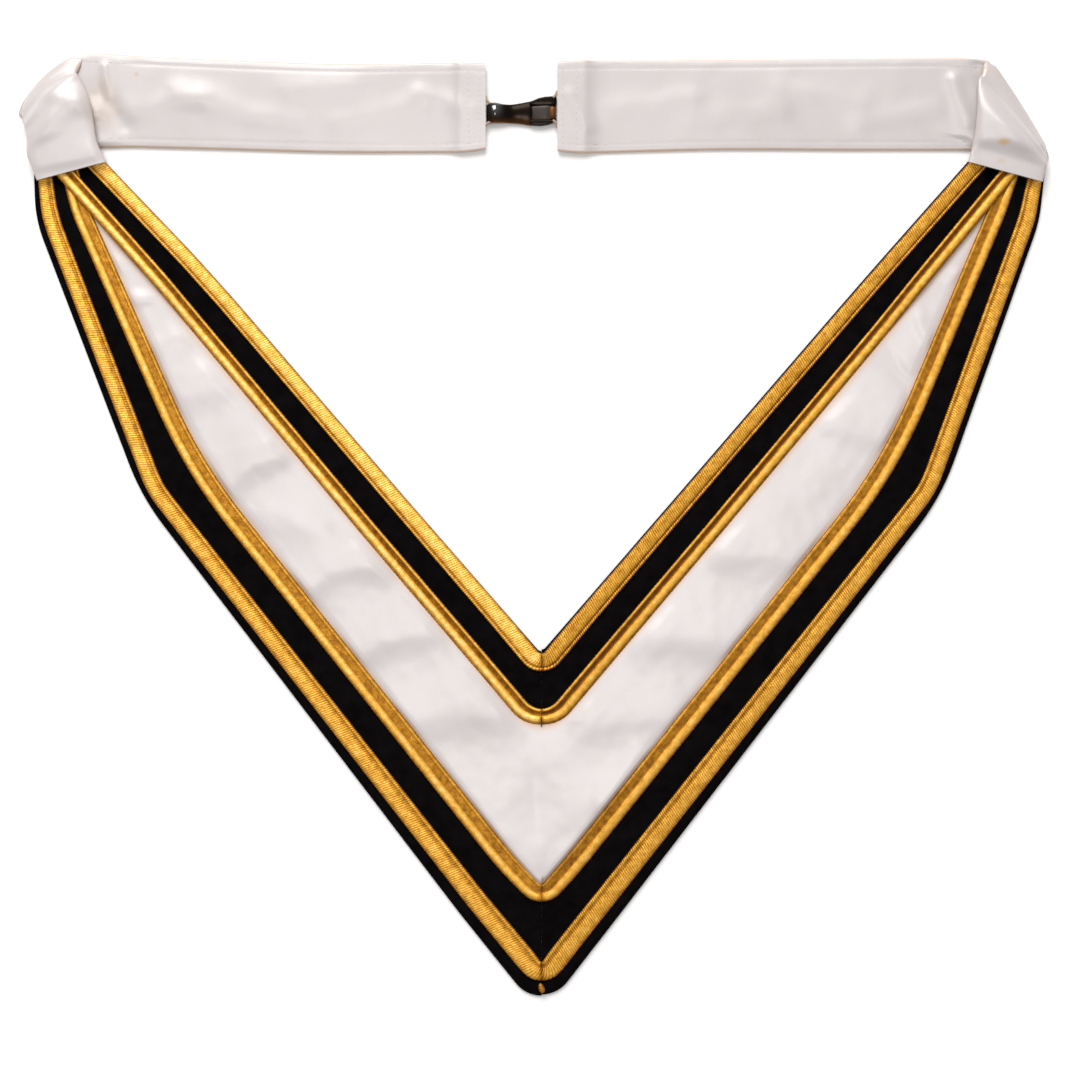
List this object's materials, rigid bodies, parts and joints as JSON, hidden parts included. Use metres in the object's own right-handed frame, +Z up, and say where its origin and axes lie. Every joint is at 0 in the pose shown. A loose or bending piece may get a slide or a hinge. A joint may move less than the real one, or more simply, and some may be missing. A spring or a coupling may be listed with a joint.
{
  "type": "masonic collar",
  "caption": "V-shaped regalia collar of black velvet with a white satin field, lines of gold braid and folded satin neck straps joined by a black hook and eye.",
  "frame": {"origin": "centre of the collar's bounding box on the surface it lies on", "axes": "+X across the collar from arm to arm, +Y from the point up to the neck straps, +Z up from the surface, out of the face"},
  "size_m": [0.4756, 0.4346, 0.0105],
  "materials": {
    "velvet": "matt black velvet",
    "satin": "white satin with a soft sheen",
    "gold_braid": "gold metallic thread, woven in ribs",
    "black_metal": "glossy black nickel"
  },
  "bodies": {
    "root": {"velvet_left": "velvet", "velvet_right": "velvet", "satin_left": "satin", "satin_right": "satin", "neck_braid_left": "gold_braid", "neck_braid_right": "gold_braid", "inner_field_braid_left": "gold_braid", "inner_field_braid_right": "gold_braid", "outer_field_braid_left": "gold_braid", "outer_field_braid_right": "gold_braid", "outer_braid_left": "gold_braid", "outer_braid_right": "gold_braid", "point_knot": "gold_braid", "strap_left": "satin", "strap_right": "satin", "hook": "black_metal", "eye": "black_metal"}
  },
  "joints": []
}
